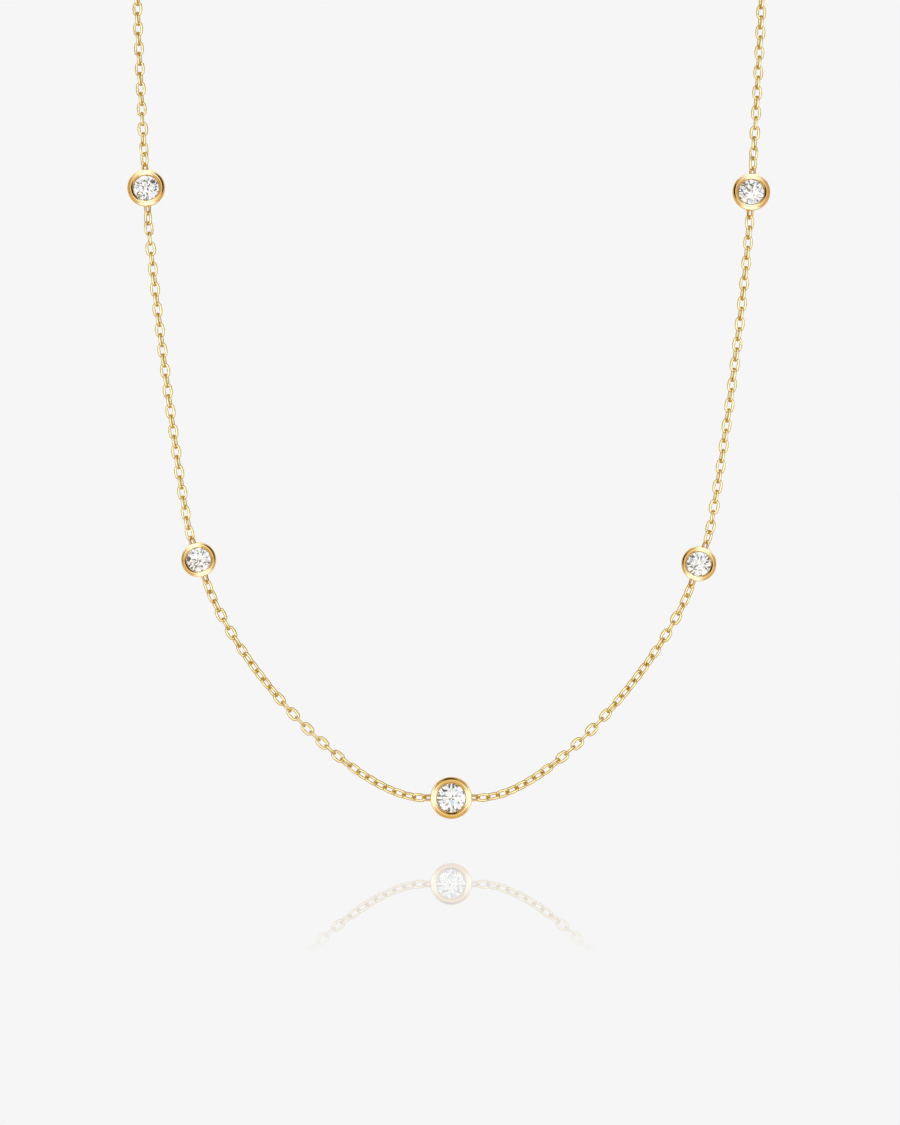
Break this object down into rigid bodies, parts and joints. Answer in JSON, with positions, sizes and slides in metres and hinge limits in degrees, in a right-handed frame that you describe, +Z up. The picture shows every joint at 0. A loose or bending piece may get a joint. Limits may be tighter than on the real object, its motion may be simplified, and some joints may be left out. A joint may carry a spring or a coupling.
{
  "type": "station necklace",
  "caption": "Station necklace of fine oval links with round bezel-set stones spaced along its front, worn round the neck and closed at the nape by a spring ring.",
  "frame": {"origin": "where the end ring beside the clasp rests on the nape of the neck, as the necklace hangs when worn", "axes": "+Z up, -Y forward out of the wearer's front, so that the centre stone hangs forward and below the origin; +X to the right of the front view"},
  "size_m": [0.0885, 0.1104, 0.1394],
  "materials": {
    "gold": "polished yellow gold",
    "stone": "colourless stone, cut as a round brilliant"
  },
  "bodies": {
    "root": {"stone_upper_left": "stone", "stone_lower_left": "stone", "stone_centre": "stone", "stone_lower_right": "stone", "stone_upper_right": "stone", "bezel_upper_left": "gold", "bezel_lower_left": "gold", "bezel_centre": "gold", "bezel_lower_right": "gold", "bezel_upper_right": "gold", "chain_side_left": "gold", "chain_front_left": "gold", "chain_front_right": "gold", "chain_side_right": "gold", "chain_neck_left": "gold", "chain_neck_right": "gold", "chain_back_left": "gold", "chain_back_right": "gold", "clasp": "gold", "end_ring": "gold"}
  },
  "joints": []
}
